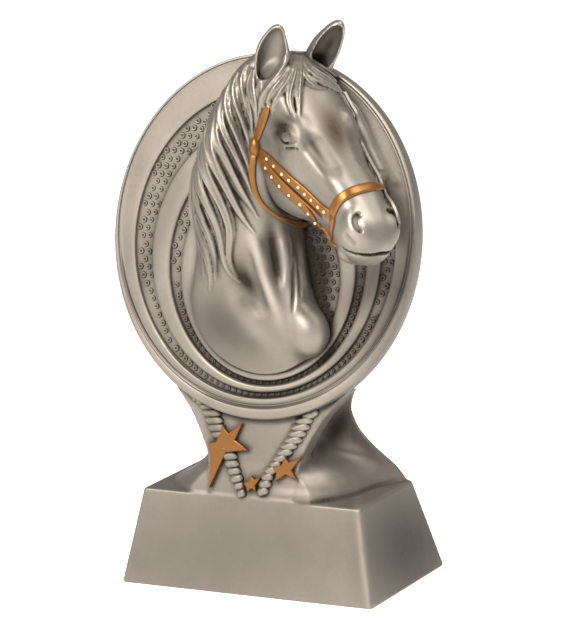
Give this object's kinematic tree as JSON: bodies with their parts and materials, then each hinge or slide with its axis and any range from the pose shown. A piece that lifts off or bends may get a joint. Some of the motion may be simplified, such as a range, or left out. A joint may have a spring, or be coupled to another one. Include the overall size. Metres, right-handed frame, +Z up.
{
  "type": "horse trophy",
  "caption": "Horse's head with halter in high relief on a leaning oval dish with nested dotted bands, on a flared stem with ropes and stars and a tapered block plinth, cast as one.",
  "frame": {"origin": "middle of the plinth's underside", "axes": "+Z up, the front with the horse faces -Y, +X to the right as the front is seen"},
  "size_m": [0.0844, 0.0631, 0.1465],
  "materials": {
    "antique_pewter": "satin metallic pewter paint on cast resin, dark patina in the hollows, gold-bronze paint on the halter and the stars"
  },
  "bodies": {
    "root": {"trophy_casting": "antique_pewter"}
  },
  "joints": []
}
